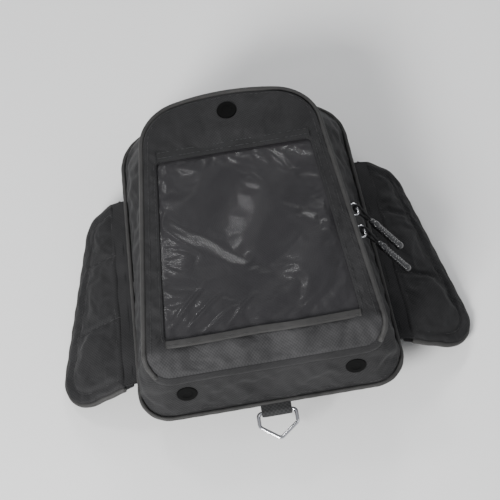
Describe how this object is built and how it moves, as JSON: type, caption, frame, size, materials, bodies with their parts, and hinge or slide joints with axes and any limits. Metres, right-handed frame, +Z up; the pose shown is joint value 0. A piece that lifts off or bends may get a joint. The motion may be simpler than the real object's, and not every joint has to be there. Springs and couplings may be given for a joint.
{
  "type": "motorcycle tank bag",
  "caption": "Small magnetic motorcycle tank bag with a zipped hinged lid, clear phone window, cable grommets, drooping side wings and a rear tether ring.",
  "frame": {"origin": "centre of the base's flat underside, where it lies on the tank", "axes": "+Y forward to the handlebar, +X to the rider's right, +Z up off the tank"},
  "size_m": [0.3362, 0.3127, 0.098],
  "materials": {
    "outer_nylon": "coarse woven nylon, matte",
    "base_fabric": "rubbery knit, matte",
    "lining_fabric": "plain lining",
    "piping_nylon": "nylon covered cord",
    "binding_tape": "ribbed tape",
    "zipper_coil": "nylon coil",
    "clear_vinyl": "clear flexible vinyl",
    "grommet_rubber": "moulded rubber",
    "stiffener": "flat polyethylene board",
    "hook_and_loop": "hook and loop",
    "magnet_steel": "plated magnet plate",
    "webbing": "woven webbing",
    "ring_chrome": "bright plated wire",
    "slider_metal": "bright plated casting",
    "pull_cord": "braided cord",
    "pull_grip": "moulded grip"
  },
  "bodies": {
    "bag": {"base_pad": "base_fabric", "body_wall": "outer_nylon", "base_board": "stiffener", "floor_lining": "lining_fabric", "base_piping": "piping_nylon", "left_rear_grommet": "grommet_rubber", "right_rear_grommet": "grommet_rubber", "lower_zipper_tape": "binding_tape", "lower_zipper_coil": "zipper_coil", "left_zipper_tab": "outer_nylon", "right_zipper_tab": "outer_nylon", "lid_fold_strip": "outer_nylon", "left_fold_strip": "outer_nylon", "right_fold_strip": "outer_nylon", "ring_webbing": "webbing"},
    "lid": {"upper_zipper_tape": "binding_tape", "upper_zipper_coil": "zipper_coil", "lid_panel": "outer_nylon", "window": "clear_vinyl", "window_front_binding": "binding_tape", "window_rear_binding": "binding_tape", "lid_rear_band": "outer_nylon", "lid_side_band": "outer_nylon", "lid_piping": "piping_nylon", "lid_grommet": "grommet_rubber", "pocket_back": "lining_fabric", "loop_strip": "hook_and_loop"},
    "pocket_flap": {"pocket_flap": "lining_fabric", "hook_strip": "hook_and_loop"},
    "left_wing": {"left_wing_lining": "base_fabric", "left_wing_shell": "outer_nylon", "left_rear_magnet": "magnet_steel", "left_front_magnet": "magnet_steel", "left_wing_binding": "piping_nylon"},
    "right_wing": {"right_wing_lining": "base_fabric", "right_wing_shell": "outer_nylon", "right_rear_magnet": "magnet_steel", "right_front_magnet": "magnet_steel", "right_wing_binding": "piping_nylon"},
    "tether_ring": {"tether_ring": "ring_chrome"},
    "front_slider": {"front_slider": "slider_metal"},
    "rear_slider": {"rear_slider": "slider_metal"},
    "front_pull": {"front_pull_cord": "pull_cord", "front_pull_grip": "pull_grip"},
    "rear_pull": {"rear_pull_cord": "pull_cord", "rear_pull_grip": "pull_grip"}
  },
  "joints": [
    {"name": "lid_hinge", "type": "hinge", "parent": "bag", "child": "lid", "pos_m": [0, -0.1315, 0.045], "axis": [1, 0, 0], "range_deg": [0, 175]},
    {"name": "pocket_flap_hinge", "type": "hinge", "parent": "lid", "child": "pocket_flap", "pos_m": [0, 0.063, 0.04695], "axis": [-1, 0, 0], "range_deg": [0, 95]},
    {"name": "left_wing_hinge", "type": "hinge", "parent": "bag", "child": "left_wing", "pos_m": [-0.1028, 0, 0.002], "axis": [0.0433, 0.9991, 0], "range_deg": [-50, 95]},
    {"name": "right_wing_hinge", "type": "hinge", "parent": "bag", "child": "right_wing", "pos_m": [0.1028, 0, 0.002], "axis": [0.0433, -0.9991, 0], "range_deg": [-50, 55]},
    {"name": "tether_ring_swing", "type": "hinge", "parent": "bag", "child": "tether_ring", "pos_m": [0, -0.1475, 0.0035], "axis": [-1, 0, 0], "range_deg": [-60, 100]},
    {"name": "front_slider_slide", "type": "slide", "parent": "bag", "child": "front_slider", "axis": [-0.1014, 0.9948, 0], "range_m": [0, 0.07]},
    {"name": "rear_slider_slide", "type": "slide", "parent": "bag", "child": "rear_slider", "axis": [-0.1014, 0.9948, 0], "range_m": [-0.07, 0]},
    {"name": "front_pull_swing", "type": "hinge", "parent": "front_slider", "child": "front_pull", "pos_m": [0.0901, -0.00319, 0.045], "axis": [0.1014, -0.9948, 0], "range_deg": [-28, 110]},
    {"name": "rear_pull_swing", "type": "hinge", "parent": "rear_slider", "child": "rear_pull", "pos_m": [0.09224, -0.02419, 0.045], "axis": [0.1014, -0.9948, 0], "range_deg": [-28, 110]}
  ]
}
